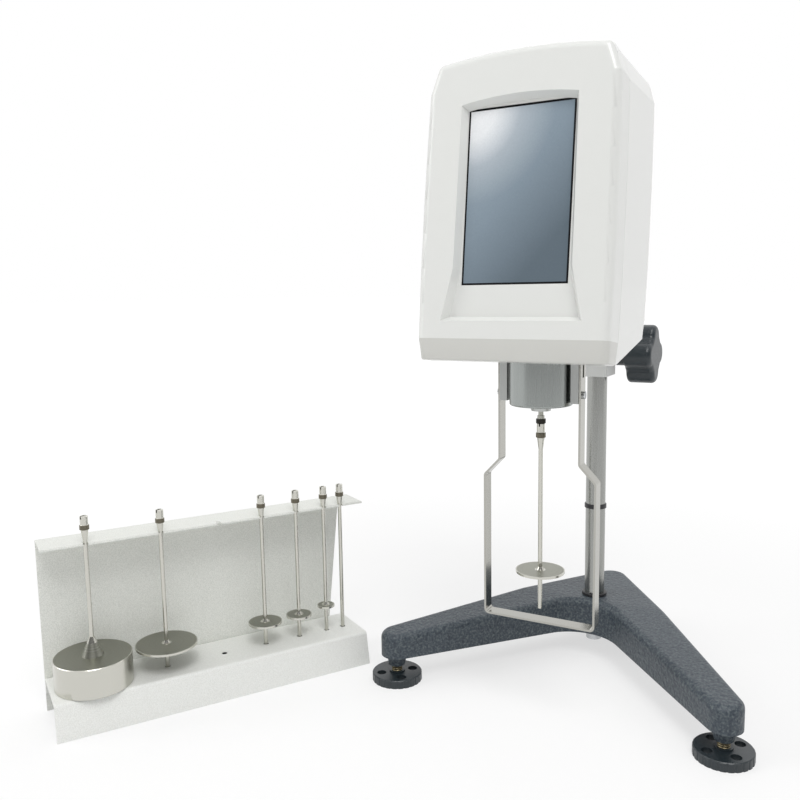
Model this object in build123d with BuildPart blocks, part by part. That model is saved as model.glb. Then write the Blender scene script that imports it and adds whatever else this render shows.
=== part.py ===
"""Rotational viscometer on a rack-and-pinion stand, with the rack that holds its spindles.

Millimetres, +Z up. The origin is on the bench under the centre of the rear foot, the operator
stands at -Y and faces the screen, and +X is the operator's right.
"""

import math
import os

from build123d import *

os.makedirs("parts", exist_ok=True)

# ---------------------------------------------------------------- driving dimensions
# Stand: where the feet, the column and the measuring axis are
foot_span = 251.0  # between the two front feet
foot_reach = 183.0  # front feet ahead of the rear foot
column_setback = 56.5  # column ahead of the rear foot
spindle_reach = 137.5  # measuring axis ahead of the column

# V-shaped casting
base_underside = 21.0
apex_top = 50.5
leg_top = 40.0
leg_end_radius = 12.4
apex_radius = 24.0
apex_y = -18.4
rear_radius = 13.8
crotch_radius = 36.0
casting_wall = 5.0
casting_roof = 6.0
casting_round = 5.5
boss_radius = 8.6
boss_tip_radius = 6.4
boss_tip = 12.5

# Levelling feet
foot_diameter = 40.0
foot_thickness = 6.6
foot_holes = 4
foot_hole_diameter = 7.5
foot_hole_circle = 26.0
foot_flutes = 24
stud_diameter = 8.5
stud_length = 26.0
stud_bore = 26.0  # depth of the tapped bore in each boss
stud_seat = 2.6  # solid plastic left under the stud

# Column and its toothed rack
column_diameter = 16.4
column_socket = 15.0
column_bolt_diameter = 8.0
stop_ring_height = 131.0
gear_module = 1.0
pinion_teeth = 12
pressure_angle = 20.0
tooth_addendum = 0.8
tooth_dedendum = 1.15
tooth_backlash = 0.22
rack_width = 5.0
rack_depth = 5.2
rack_foot = 140.0

# Lift block, pinion and knob
lift_travel = 70.0  # each way
block_below_arm = 64.0
block_above_arm = 16.0
block_width = 21.0
block_front = 10.2  # block face ahead of the column's axis
block_back = 22.0  # block face behind the column's axis
bush_length = 12.0
bush_wall = 1.0
pinion_lift = 18.0  # pinion above the block's lower end
pinion_shaft_diameter = 6.0
knob_diameter = 48.0
knob_thickness = 23.0
knob_gap = 12.0  # knob's inner face from the block's side
knob_core = 0.74  # radius of the core between the lobes, as a share of the knob's
knob_lobes = 4
lobe_radius = 10.0
arm_lift = 18.0  # arm's axis above the chassis
arm_diameter = 14.0
arm_boss_diameter = 22.0
arm_boss_length = 24.0
arm_screw_radius = 2.5

# Measuring head, in a frame that leans back with its face
head_lean = 7.44
face_reach = 58.7  # face ahead of the measuring axis at the screen's lower edge
face_lift = 31.0  # that point above the chassis
head_half_width = 64.5
head_rise = 147.5  # face above the screen's lower edge
head_drop = 49.0  # face below it
head_arch = 4.5
chin_height = 14.0
chin_setback = 3.4
seam_depth = 21.0
head_depth = 127.0
rear_half_width = 56.0
rear_rise = 166.0
rear_drop = 24.0
cover_wall = 3.0
face_round = 5.0
shoulder_round = 5.0
shoulder_drop = 18.0
rear_shoulder_round = 12.0
rear_round = 8.0
seam_gap = 0.4

# Screen recess
screen_width = 71.0
screen_height = 112.8
screen_thickness = 1.6
recess_depth = 6.0
recess_top_half = 38.6
recess_foot_half = 47.0
recess_rise = 118.0
recess_drop = 23.6
recess_inset = 3.0
recess_round = 1.2

# Chassis, pivot cup and guard
chassis_height = 286.0
chassis_thickness = 3.0
chassis_half_width = 44.0
chassis_front = 36.0  # ahead of the measuring axis
chassis_back = 56.0
upright_height = 138.0
board_width = 76.0
board_length = 56.0
board_standoff = 5.0
board_thickness = 1.6
cup_diameter = 43.5
cup_drop = 53.0  # cup's bottom below the chassis
cup_wall = 2.0
hanger_inner = 23.0
hanger_thickness = 5.4
hanger_depth = 12.0
hanger_drop = 50.5
strip_width = 10.0
strip_thickness = 1.5
guard_overlap = 32.5  # strip above the hanger's lower end
guard_neck = 42.5  # straight strip below the hangers
guard_flare = 12.0
guard_half_width = 40.5
guard_clearance = 8.5  # guard's bar below the spindle's tip
guard_bend = 3.0
guard_screw_rise = 5.5  # screws above the hangers' lower ends
guard_screw_radius = 1.5
guard_slot = 15.0

# Drive inside the head
bearing_radius = 5.0
nut_thread_radius = 4.6
nut_radius = 7.6
nut_taper = 0.8
nut_height = 4.0
drive_radius = 1.8
thread_depth = 6.0
ring_height = 3.0
post_spacing = 41.0
motor_lift = 42.0  # motor plate above the chassis
hub_radius = 6.0
shaft_overhang = 16.0  # motor's shaft below its plate
motor_side = 42.3
motor_height = 38.0
motor_shaft_radius = 2.5
sensor_disc_radius = 16.0
spring_turns = 4

# Back panel of the head: (across, up, width, height) of each opening
switch_place = (-27.0, 88.0, 14.0, 20.0)
inlet_place = (27.0, 88.0, 12.0, 12.0)
data_place = (24.0, 58.0, 24.0, 11.0)
probe_place = (-27.0, 58.0)
probe_radius = 6.0
rocker_width = 10.0
rocker_height = 16.0

# Level let into the top of the head
level_setback = 8.0  # ahead of the measuring axis
level_sink = 11.0  # level's seat below the top of the head's rear
level_radius = 9.0
level_height = 10.0

# Spindles
disc_diameters = (56.26, 46.93, 34.69, 27.30, 21.14, 14.62)
drum_height = 22.48
disc_thickness = 1.65
disc_lift = (0.0, 27.0, 27.0, 27.0, 27.0, 30.17)
rod_diameter = 3.18
rod_spindle_diameter = 3.2
spindle_length = 134.5
drum_spindle_length = 128.3
coupling_length = 18.5
coupling_diameter = 6.0
coupling_ring = 6.9
coupling_ring_start = 6.9  # below the coupling's top
coupling_ring_end = 10.0
thread_diameter = 2.6
coupling_drop = 12.9  # coupling's top below the cup
castle_slot = 1.0
castle_depth = 2.2

# Spindle rack, in its own frame: x along the row of holes, y towards the back panel
rack_place = (-243.3, -256.4)  # the empty third hole
rack_turn = 58.65
hole_pitches = (54.3, 45.4, 35.3, 29.8, 24.9, 15.2)
hole_diameter = 4.5
sheet = 1.5
bend_radius = 2.0
tray_height = 26.5
tray_left = -131.0
tray_right = 117.0
tray_front = -21.5
tray_skirt = -26.5
panel_back = 30.2
ledge_height = 134.6
ledge_right = 125.0
ledge_front = -2.6
panel_foot_cut = 11.0
notch_width = 3.6
notch_end = 3.2
tray_tab = 12.0  # flange that joins the tray to the back panel

# Clearances
running = 0.05  # radial, between a shaft and its bore
seat = 0.3  # between bodies that move past each other
fastener = 0.1  # radial, round a screw

# ---------------------------------------------------------------- derived places
face_height = chassis_height + face_lift
arm_height = chassis_height + arm_lift
block_bottom = arm_height - block_below_arm
block_height = block_below_arm + block_above_arm
pinion_height = block_bottom + pinion_lift
column_top = block_bottom + block_height + lift_travel + 6
cup_bottom = chassis_height - cup_drop
hanger_bottom = chassis_height - hanger_drop
guard_screw_height = hanger_bottom + guard_screw_rise
guard_top = hanger_bottom + guard_overlap
guard_shoulder = hanger_bottom - guard_neck
guard_hip = guard_shoulder - guard_flare
coupling_top = cup_bottom - coupling_drop
fitted_tip = coupling_top - spindle_length
guard_bottom = fitted_tip - guard_clearance
level_seat = face_height + head_rise - level_sink
stud_radius = stud_diameter / 2
bolt_radius = column_bolt_diameter / 2
rack_slot = column_diameter / 2 - rack_depth
cup_radius = cup_diameter / 2
column_y = -column_setback
spindle_y = column_y - spindle_reach
level_y = spindle_y - level_setback
foot_y = -foot_reach
foot_x = foot_span / 2
column_radius = column_diameter / 2
pitch_radius = gear_module * pinion_teeth / 2
rack_pitch_line = column_radius - tooth_addendum * gear_module
pinion_y = column_y + rack_pitch_line + pitch_radius
tooth_pitch = math.pi * gear_module
bush_radius = column_radius + running + bush_wall
coupling_radius = coupling_diameter / 2
taper_end = coupling_ring_end + 0.4  # below the coupling's top
shaft_radius = pinion_shaft_diameter / 2
arm_radius = arm_diameter / 2
arm_screw_y = column_y - block_front - arm_boss_length / 2
STANDING = (Align.CENTER, Align.CENTER, Align.MIN)
HANGING = (Align.CENTER, Align.CENTER, Align.MAX)
MIDDLE = (Align.CENTER, Align.CENTER, Align.CENTER)


def write(piece, name):
    """Label a finished piece and write it as one STEP file."""
    piece.part.label = name
    export_step(piece.part, f"parts/{name}.step")


# ---------------------------------------------------------------- stand
# Each leg is the taut outline round the leg's end, the apex and the rear foot. The height
# falls from the apex to the leg ends, and the underside is cored as a sand casting is.
def leg_plan(inset):
    """Plan of the V: both legs and the rounded crotch between them."""
    with BuildSketch() as leg:
        with Locations((foot_x, foot_y)):
            Circle(leg_end_radius - inset)
        with Locations((0, apex_y)):
            Circle(apex_radius - inset)
        Circle(rear_radius - inset)
        make_hull()
    with BuildSketch() as plan:
        add(leg.sketch)
        mirror(leg.sketch, about=Plane.YZ)
        crotch = plan.vertices().filter_by(lambda v: abs(v.X) < 0.01).sort_by(Axis.Y)[0]
        fillet(crotch, crotch_radius + inset)
    return plan.sketch


foot_places = ((foot_x, foot_y), (-foot_x, foot_y), (0, 0))
crease_y = column_y - column_radius - 6
leg_tip_y = foot_y - leg_end_radius - 1
with BuildPart() as base_casting:
    add(leg_plan(0))
    extrude(amount=apex_top)
    with BuildSketch(Plane.YZ):
        with BuildLine():
            Polyline(
                (rear_radius + 1, base_underside),
                (rear_radius + 1, apex_top),
                (crease_y, apex_top),
                (leg_tip_y, leg_top),
                (leg_tip_y, base_underside),
                close=True,
            )
        make_face()
    extrude(amount=foot_x + foot_diameter, both=True, mode=Mode.INTERSECT)
    tops = base_casting.faces().filter_by(lambda f: f.normal_at().Z > 0.9)
    rim = tops.edges().filter_by(lambda e: abs(e.center().Y - crease_y) > 1 or e.length < 20)
    fillet(rim, casting_round)
    with BuildSketch(Plane.XY.offset(base_underside)):
        add(leg_plan(casting_wall))
        with Locations(*foot_places):
            Circle(boss_radius, mode=Mode.SUBTRACT)
        with Locations((0, column_y)):
            Circle(column_radius + casting_wall, mode=Mode.SUBTRACT)
    extrude(amount=leg_top - casting_roof - base_underside, mode=Mode.SUBTRACT)
    with Locations(*[(x, y, base_underside) for x, y in foot_places]):
        Cone(boss_tip_radius, boss_radius, base_underside - boss_tip, align=HANGING)
    with Locations(*[(x, y, boss_tip) for x, y in foot_places]):
        Cylinder(stud_radius + running, stud_bore, align=STANDING, mode=Mode.SUBTRACT)
    with Locations((0, column_y, apex_top)):
        Cylinder(column_radius + running, column_socket, align=HANGING, mode=Mode.SUBTRACT)
        Cylinder(bolt_radius + fastener, apex_top, align=HANGING, mode=Mode.SUBTRACT)
write(base_casting, "base_casting")

# The column stands in a socket in the casting and is pulled down by a bolt from below. Its
# back carries a slot for the toothed rack.
column_bottom = apex_top - column_socket
bolt_thread = 22.0
with BuildPart() as column:
    with Locations((0, column_y, column_bottom)):
        Cylinder(column_radius, column_top - column_bottom, align=STANDING)
        chamfer(column.edges().group_by(Axis.Z)[-1], 0.8)
        Cylinder(bolt_radius + running, bolt_thread + 1, align=STANDING, mode=Mode.SUBTRACT)
    with Locations((0, column_y + rack_slot, rack_foot)):
        slot_align = (Align.CENTER, Align.MIN, Align.MIN)
        Box(rack_width, column_radius, column_top, align=slot_align, mode=Mode.SUBTRACT)
write(column, "column")

washer_thickness = 1.6
bolt_head_height = 8.0
bolt_hex = 6.0
with BuildPart() as column_washer:
    with Locations((0, column_y, base_underside)):
        Cylinder(bolt_radius + 5, washer_thickness, align=HANGING)
        Cylinder(bolt_radius + fastener, washer_thickness, align=HANGING, mode=Mode.SUBTRACT)
write(column_washer, "column_washer")

with BuildPart() as column_bolt:
    with Locations((0, column_y, base_underside - washer_thickness)):
        Cylinder(bolt_radius + 2.5, bolt_head_height, align=HANGING)
    with Locations((0, column_y, base_underside - washer_thickness)):
        shank = column_bottom + bolt_thread - base_underside + washer_thickness
        Cylinder(bolt_radius, shank, align=STANDING)
    with BuildSketch(Plane.XY.offset(base_underside - washer_thickness - bolt_head_height)):
        with Locations((0, column_y)):
            RegularPolygon(bolt_hex / 2, 6, major_radius=False)
    extrude(amount=bolt_head_height / 2, mode=Mode.SUBTRACT)
write(column_bolt, "column_bolt")


def column_ring(top_height, wall, height):
    """A plain ring that sits on the column, its outer top edge broken."""
    with BuildPart() as ring:
        with Locations((0, column_y, top_height)):
            Cylinder(column_radius + wall, height, align=HANGING)
            chamfer(ring.edges().group_by(Axis.Z)[-1], min(0.6, wall / 2))
            Cylinder(column_radius + running, height, align=HANGING, mode=Mode.SUBTRACT)
    return ring


foot_ring_height = 2.6
write(column_ring(apex_top + foot_ring_height, 2.2, foot_ring_height), "column_foot_ring")
write(column_ring(stop_ring_height, 0.9, 3.6), "stop_ring")

# Toothed rack: straight flanks at the pressure angle, a tooth gap centred on the pinion.
flank_slope = math.tan(math.radians(pressure_angle))
tip = tooth_addendum * gear_module
root = tooth_dedendum * gear_module
half_tooth = tooth_pitch / 4 - tooth_backlash / 4
teeth_up = int((column_top - 3 - pinion_height) / tooth_pitch)
teeth_down = int((pinion_height - rack_foot - 3) / tooth_pitch)
with BuildPart() as column_rack:
    with BuildSketch(Plane.YZ):
        with Locations((column_y + rack_slot + running, rack_foot + running)):
            bar_depth = rack_pitch_line - root - rack_slot - running
            Rectangle(bar_depth, column_top - rack_foot - 1, align=Align.MIN)
        with BuildLine(mode=Mode.PRIVATE) as tooth:
            Polyline(
                (-root - 0.2, -half_tooth - root * flank_slope),
                (-root, -half_tooth - root * flank_slope),
                (tip, -half_tooth + tip * flank_slope),
                (tip, half_tooth - tip * flank_slope),
                (-root, half_tooth + root * flank_slope),
                (-root - 0.2, half_tooth + root * flank_slope),
                close=True,
            )
        tooth_face = make_face(tooth.line.edges(), mode=Mode.PRIVATE)
        first_tooth = pinion_height + (0.5 - teeth_down) * tooth_pitch
        tooth_rows = [first_tooth + n * tooth_pitch for n in range(teeth_down + teeth_up)]
        with Locations(*[(column_y + rack_pitch_line, row) for row in tooth_rows]):
            add(tooth_face)
    extrude(amount=rack_width / 2 - running, both=True)
write(column_rack, "column_rack")

# ---------------------------------------------------------------- levelling feet
# A brass stud screws into each boss; its foot is a moulded disc with four finger holes.
for foot_name, (x, y) in zip(("right", "left", "rear"), foot_places):
    with BuildPart() as stud:
        with Locations((x, y, stud_seat)):
            Cylinder(stud_radius, stud_length, align=STANDING)
        chamfer(stud.edges().group_by(Axis.Z)[-1], 0.8)
    write(stud, f"foot_stud_{foot_name}")

    with BuildPart() as disc:
        with Locations((x, y, 0)):
            Cylinder(foot_diameter / 2, foot_thickness, align=STANDING)
            chamfer(disc.edges().group_by(Axis.Z)[-1], 0.7)
            with PolarLocations(foot_diameter / 2 + 1.2, foot_flutes):
                Cylinder(1.6, foot_thickness, align=STANDING, mode=Mode.SUBTRACT)
            with PolarLocations(foot_hole_circle / 2, foot_holes, start_angle=180 / foot_holes):
                Cylinder(foot_hole_diameter / 2, foot_thickness, align=STANDING, mode=Mode.SUBTRACT)
            Cylinder(stud_radius + 2, foot_thickness + 1.2, align=STANDING)
        with Locations((x, y, stud_seat)):
            Cylinder(stud_radius + running, foot_thickness, align=STANDING, mode=Mode.SUBTRACT)
    write(disc, f"foot_disc_{foot_name}")

# ---------------------------------------------------------------- lift
# The block slides on two bronze bushes. Behind the column a cross bore carries the pinion.
with BuildPart() as lift_block:
    with BuildSketch(Plane.XY.offset(block_bottom)):
        with Locations((0, column_y - block_front)):
            Rectangle(block_width, block_front + block_back, align=(Align.CENTER, Align.MIN))
    extrude(amount=block_height)
    fillet(lift_block.edges().filter_by(Axis.Z).group_by(Axis.Y)[-1], 6)
    fillet(lift_block.edges().filter_by(Axis.Z).group_by(Axis.Y)[0], 1.5)
    chamfer(lift_block.edges().group_by(Axis.Z)[-1], 1)
    with BuildSketch(Plane.XZ.offset(-column_y)):
        with Locations((0, arm_height)):
            Circle(arm_boss_diameter / 2)
    extrude(amount=block_front + arm_boss_length)
    with Locations((0, column_y, block_bottom)):
        Cylinder(bush_radius + running, block_height, align=STANDING, mode=Mode.SUBTRACT)
    with BuildSketch(Plane.YZ):
        with Locations((pinion_y, pinion_height)):
            Circle(pitch_radius + tip + 0.6)
    extrude(amount=rack_width / 2 + 0.6, both=True, mode=Mode.SUBTRACT)
    with BuildSketch(Plane.YZ):
        with Locations((pinion_y, pinion_height)):
            Circle(shaft_radius + running)
    extrude(amount=block_width, both=True, mode=Mode.SUBTRACT)
    with BuildSketch(Plane.XZ.offset(block_front + arm_boss_length - column_y)):
        with Locations((0, arm_height)):
            Circle(arm_radius + running)
    extrude(amount=-arm_boss_length, mode=Mode.SUBTRACT)
    with BuildSketch(Plane.XY.offset(arm_height)):
        with Locations((0, arm_screw_y)):
            Circle(arm_screw_radius + fastener)
    extrude(amount=arm_boss_diameter, mode=Mode.SUBTRACT)
write(lift_block, "lift_block")

upper_bush = block_bottom + block_height - bush_length
for bush_name, bush_base in (("lower", block_bottom), ("upper", upper_bush)):
    with BuildPart() as bush:
        with Locations((0, column_y, bush_base)):
            Cylinder(bush_radius, bush_length, align=STANDING)
            Cylinder(column_radius + running, bush_length, align=STANDING, mode=Mode.SUBTRACT)
            keyway = (rack_width + 2 * seat, column_radius + 2 * seat, bush_length)
            Box(*keyway, align=(Align.CENTER, Align.MIN, Align.MIN), mode=Mode.SUBTRACT)
    write(bush, f"guide_bush_{bush_name}")


def involute_gear(radius, teeth, thinning):
    """Sketch of a stub-tooth gear: involute flanks from the base circle to the tip circle."""
    base = radius * math.cos(math.radians(pressure_angle))
    outer = radius + tip
    inner = radius - root
    start = max(base, inner)

    def involute(r):
        roll = math.acos(min(1, base / r))
        return math.tan(roll) - roll

    half_angle = (math.pi * gear_module / 2 - thinning) / 2 / radius + involute(radius)
    right = []
    for k in range(4):
        r = start + (outer - start) * k / 3
        angle = half_angle - involute(r)
        right.append((r * math.cos(angle), r * math.sin(angle)))
    left = [(x, -y) for x, y in right]
    foot_x_end = (inner - 0.3) * math.cos(half_angle)
    foot_y_end = (inner - 0.3) * math.sin(half_angle)
    with BuildSketch() as gear:
        Circle(inner)
        with BuildLine(mode=Mode.PRIVATE) as outline:
            Spline(*right)
            Spline(*left)
            ThreePointArc(right[-1], (outer, 0), left[-1])
            Polyline(right[0], (foot_x_end, foot_y_end), (foot_x_end, -foot_y_end), left[0])
        tooth = make_face(outline.line.edges(), mode=Mode.PRIVATE)
        with PolarLocations(0, teeth):
            add(tooth)
    return gear.sketch


# Pinion shaft: the gear is cut on the shaft; a groove at its left end takes a retaining ring.
pinion_plane = Plane(origin=(0, pinion_y, pinion_height), x_dir=(0, -1, 0), z_dir=(1, 0, 0))
shaft_left = -block_width / 2 - 3
knob_inner = block_width / 2 + knob_gap
with BuildPart(pinion_plane) as pinion_shaft:
    with BuildSketch(pinion_plane.offset(-rack_width / 2)):
        add(involute_gear(pitch_radius, pinion_teeth, tooth_backlash / 2))
    extrude(amount=rack_width)
    with BuildSketch(pinion_plane.offset(shaft_left)):
        Circle(shaft_radius)
    extrude(amount=knob_inner + knob_thickness - 3 - shaft_left)
write(pinion_shaft, "pinion_shaft")

with BuildPart() as shaft_ring:
    with BuildSketch(pinion_plane.offset(shaft_left)):
        Circle(shaft_radius + 2)
        Circle(shaft_radius + running / 2, mode=Mode.SUBTRACT)
    extrude(amount=2.6)
write(shaft_ring, "shaft_ring")

# Lobed lift knob, moulded in one piece with its hub.
knob_radius = knob_diameter / 2
knob_depth = knob_gap + knob_thickness - 3
with BuildPart() as lift_knob:
    with BuildSketch(pinion_plane.offset(knob_inner)) as lobes:
        Circle(knob_radius * knob_core)
        with PolarLocations(knob_radius - lobe_radius, knob_lobes):
            Circle(lobe_radius)
        fillet(lobes.vertices(), lobe_radius / 2)
    extrude(amount=knob_thickness)
    fillet(lift_knob.edges().group_by(Axis.X)[-1], 4)
    fillet(lift_knob.edges().group_by(Axis.X)[0], 3)
    with BuildSketch(pinion_plane.offset(block_width / 2 + 1)):
        Circle(knob_radius * 0.42)
    extrude(amount=knob_gap)
    with BuildSketch(pinion_plane.offset(block_width / 2)):
        Circle(shaft_radius + fastener)
    extrude(amount=knob_depth, mode=Mode.SUBTRACT)
write(lift_knob, "lift_knob")

# Arm: a rod bolted to the back of the chassis and held in the block by a set screw.
arm_end = column_y - block_front - seat
with BuildPart() as head_arm:
    with BuildSketch(Plane.XZ.offset(-arm_end)):
        with Locations((0, arm_height)):
            Circle(arm_radius)
    extrude(amount=arm_end - spindle_y - chassis_back)
    with BuildSketch(Plane.XZ.offset(-spindle_y - chassis_back)):
        with Locations((0, arm_height)):
            Circle(arm_radius + 5)
    extrude(amount=-4)
write(head_arm, "head_arm")

with BuildPart() as arm_screw:
    with Locations((0, arm_screw_y, arm_height + arm_radius + 0.05)):
        Cylinder(arm_screw_radius, 9, align=STANDING)
    with BuildSketch(Plane.XY.offset(arm_height + arm_radius + 9.05)):
        with Locations((0, arm_screw_y)):
            RegularPolygon(1.25, 6, major_radius=False)
    extrude(amount=-3, mode=Mode.SUBTRACT)
write(arm_screw, "arm_screw")

# ---------------------------------------------------------------- head covers
# Everything on the face is set out in a plane that leans back: x across, y up the face.
lean = math.radians(head_lean)
face = Plane(
    origin=(0, spindle_y - face_reach, face_height),
    x_dir=(1, 0, 0),
    z_dir=(0, -math.cos(lean), math.sin(lean)),
)
face_axis = Axis(face.origin, face.z_dir)
back_panel = Plane(
    origin=face.from_local_coords(Vector(0, 0, -head_depth)),
    x_dir=(-1, 0, 0),
    z_dir=-face.z_dir,
)


def head_outline(half_width, rise, drop, rounding):
    """Outline of the head: arched top, sloping shoulders, bowed sides and a straight chin."""
    shoulder = (half_width * 0.885, rise - head_arch)
    upper = (half_width * 0.978, rise - shoulder_drop - head_arch)
    middle = (half_width, (rise - drop) / 2)
    lower = (half_width * 0.992, chin_height - drop)
    corner = (half_width * 0.975, -drop)
    with BuildSketch() as outline:
        with BuildLine():
            ThreePointArc((0, rise), (half_width * 0.45, rise - head_arch * 0.25), shoulder)
            Line(shoulder, upper)
            ThreePointArc(upper, middle, lower)
            Line(lower, corner)
            Line(corner, (0, -drop))
            Line((0, -drop), (0, rise))
        make_face()
        mirror(about=Plane.YZ)
        fillet(outline.vertices().group_by(Axis.Y)[-2], rounding)
    return outline.sketch


hollow = head_outline(
    head_half_width - cover_wall,
    head_rise - cover_wall,
    head_drop - cover_wall,
    shoulder_round,
)
rear_hollow = head_outline(
    rear_half_width - cover_wall,
    rear_rise - cover_wall,
    rear_drop - cover_wall,
    rear_shoulder_round,
)


def recess_outline(margin):
    """Outline of the screen recess: an arched top over sides that flare to a wide foot."""
    with BuildSketch() as outline:
        with BuildLine():
            top_left = (-recess_top_half, recess_rise - 3.5)
            top_right = (recess_top_half, recess_rise - 3.5)
            ThreePointArc(top_left, (0, recess_rise), top_right)
            Line(top_right, (recess_top_half + 1, 10))
            Line((recess_top_half + 1, 10), (recess_foot_half, -recess_drop))
            Line((recess_foot_half, -recess_drop), (-recess_foot_half, -recess_drop))
            Line((-recess_foot_half, -recess_drop), (-recess_top_half - 1, 10))
            Line((-recess_top_half - 1, 10), top_left)
        make_face()
        if margin:
            offset(amount=margin, kind=Kind.INTERSECTION)
    return outline.sketch


# Front cover: an open shell whose face ends in a chin that slopes back, with a sunk screen.
chin_fold = chin_height - head_drop
with BuildPart() as front_cover:
    with BuildSketch(face):
        add(head_outline(head_half_width, head_rise, head_drop, shoulder_round))
    extrude(amount=-(seam_depth - seam_gap / 2))
    with BuildSketch(Plane(face.origin, x_dir=face.y_dir, z_dir=face.x_dir)):
        with BuildLine():
            Polyline(
                (chin_fold, 0),
                (-head_drop - 1, chin_setback * (1 + 1 / chin_height)),
                (-head_drop - 1, -seam_depth),
                (chin_fold, -seam_depth),
                close=True,
            )
        make_face()
    extrude(amount=head_half_width + 1, both=True, mode=Mode.SUBTRACT)
    front_face = front_cover.faces().sort_by(face_axis)[-1]
    fold = front_face.edges().sort_by(Axis.Z)[0]
    fillet(front_face.edges() - [fold], face_round)
    with BuildSketch(face.offset(-cover_wall)):
        add(hollow)
    extrude(amount=-seam_depth, mode=Mode.SUBTRACT)
    with BuildSketch(face.offset(-cover_wall + 0.5)):
        add(recess_outline(cover_wall - 1))
    extrude(amount=-recess_depth - 0.5)
    with BuildSketch(face):
        add(recess_outline(0))
    with BuildSketch(face.offset(-recess_depth)):
        add(recess_outline(-recess_inset))
    loft(mode=Mode.SUBTRACT)
    with BuildSketch(face.offset(-recess_depth)):
        with Locations((0, screen_height / 2)):
            Rectangle(screen_width + 0.4, screen_height + 0.4)
    extrude(amount=-cover_wall * 2, mode=Mode.SUBTRACT)
write(front_cover, "front_cover")

# Rear cover: lofted from the seam to a smaller, higher back, then hollowed the same way.
with BuildPart() as rear_cover:
    with BuildSketch(face.offset(-seam_depth - seam_gap / 2)):
        add(head_outline(head_half_width, head_rise, head_drop, shoulder_round))
    with BuildSketch(face.offset(-head_depth)):
        add(head_outline(rear_half_width, rear_rise, rear_drop, rear_shoulder_round))
    loft()
    fillet(rear_cover.faces().sort_by(face_axis)[0].edges(), rear_round)
    with BuildSketch(face.offset(-seam_depth)):
        add(hollow)
    with BuildSketch(face.offset(-head_depth + cover_wall)):
        add(rear_hollow)
    loft(mode=Mode.SUBTRACT)
    with BuildSketch(Plane.XY.offset(cup_bottom)):
        with Locations((0, spindle_y)):
            Circle(cup_radius + 2)
            Rectangle(2 * (hanger_inner + hanger_thickness + strip_thickness + 2), hanger_depth + 4)
    extrude(amount=chassis_height - cup_bottom, mode=Mode.SUBTRACT)
    with BuildSketch(Plane.XZ.offset(-spindle_y)):
        with Locations((0, arm_height)):
            Circle(arm_radius + 1)
    extrude(amount=-head_depth, mode=Mode.SUBTRACT)
    with BuildSketch(back_panel):
        for x, y, width, height in (switch_place, inlet_place, data_place):
            with Locations((x, y)):
                Rectangle(width, height)
        with Locations(probe_place):
            Circle(probe_radius)
    extrude(amount=-2 * cover_wall, mode=Mode.SUBTRACT)
    with Locations((0, level_y, level_seat)):
        Cylinder(level_radius + fastener, 2 * level_height, align=STANDING, mode=Mode.SUBTRACT)
write(rear_cover, "rear_cover")

# Screen: a touch glass in the window of the recess, with the display and its board behind it.
screen_seat = face.offset(-recess_depth)
with BuildPart() as touch_screen:
    with BuildSketch(screen_seat.offset(-screen_thickness)):
        with Locations((0, screen_height / 2)):
            Rectangle(screen_width, screen_height)
    extrude(amount=screen_thickness)
write(touch_screen, "touch_screen")

with BuildPart() as display_module:
    with BuildSketch(screen_seat.offset(-screen_thickness)):
        with Locations((0, screen_height / 2)):
            Rectangle(screen_width - 1, screen_height - 1)
    extrude(amount=-5)
write(display_module, "display_module")

with BuildPart() as display_board:
    with BuildSketch(screen_seat.offset(-screen_thickness - 5)):
        with Locations((0, screen_height / 2)):
            Rectangle(screen_width + 14, screen_height + 12)
            with GridLocations(screen_width + 6, screen_height + 4, 2, 2):
                Circle(1.7, mode=Mode.SUBTRACT)
    extrude(amount=-1.6)
    with BuildSketch(screen_seat.offset(-screen_thickness - 6.6)):
        with Locations((-12, 70), (16, 40), (-14, 30)):
            Rectangle(18, 18)
        with Locations((20, 84)):
            Rectangle(8, 26)
    extrude(amount=-2.4)
write(display_board, "display_board")

# ---------------------------------------------------------------- chassis and drive
chassis_top = chassis_height + chassis_thickness
motor_base = chassis_top + motor_lift
upright = Plane.XZ.offset(-spindle_y - chassis_back + chassis_thickness)
board_height = chassis_height + upright_height - board_length / 2 - board_standoff
with BuildPart() as chassis:
    with BuildSketch(Plane.XY.offset(chassis_height)):
        with Locations((0, spindle_y + (chassis_back - chassis_front) / 2)):
            RectangleRounded(2 * chassis_half_width, chassis_back + chassis_front, 4)
        with Locations((0, spindle_y)):
            Circle(bearing_radius + running, mode=Mode.SUBTRACT)
    extrude(amount=chassis_thickness)
    with BuildSketch(upright):
        with Locations((0, chassis_height)):
            Rectangle(board_width, upright_height, align=(Align.CENTER, Align.MIN))
    extrude(amount=-chassis_thickness)
    fillet(chassis.edges().filter_by(Axis.Y).group_by(Axis.Z)[-1], 5)
    with BuildSketch(upright):
        with Locations((0, board_height)):
            with GridLocations(board_width * 0.88, board_length * 0.85, 2, 2):
                Circle(board_standoff * 0.56)
    extrude(amount=board_standoff)
write(chassis, "chassis")

with BuildPart() as pivot_cup:
    with Locations((0, spindle_y, cup_bottom)):
        Cylinder(cup_radius, chassis_height - cup_bottom, align=STANDING)
        fillet(pivot_cup.edges().group_by(Axis.Z)[0], 1.2)
    with Locations((0, spindle_y, cup_bottom + cup_wall)):
        Cylinder(cup_radius - cup_wall, chassis_height, align=STANDING, mode=Mode.SUBTRACT)
    with Locations((0, spindle_y, cup_bottom)):
        Cylinder(nut_thread_radius + running, 20, align=STANDING, mode=Mode.SUBTRACT)
write(pivot_cup, "pivot_cup")

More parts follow.
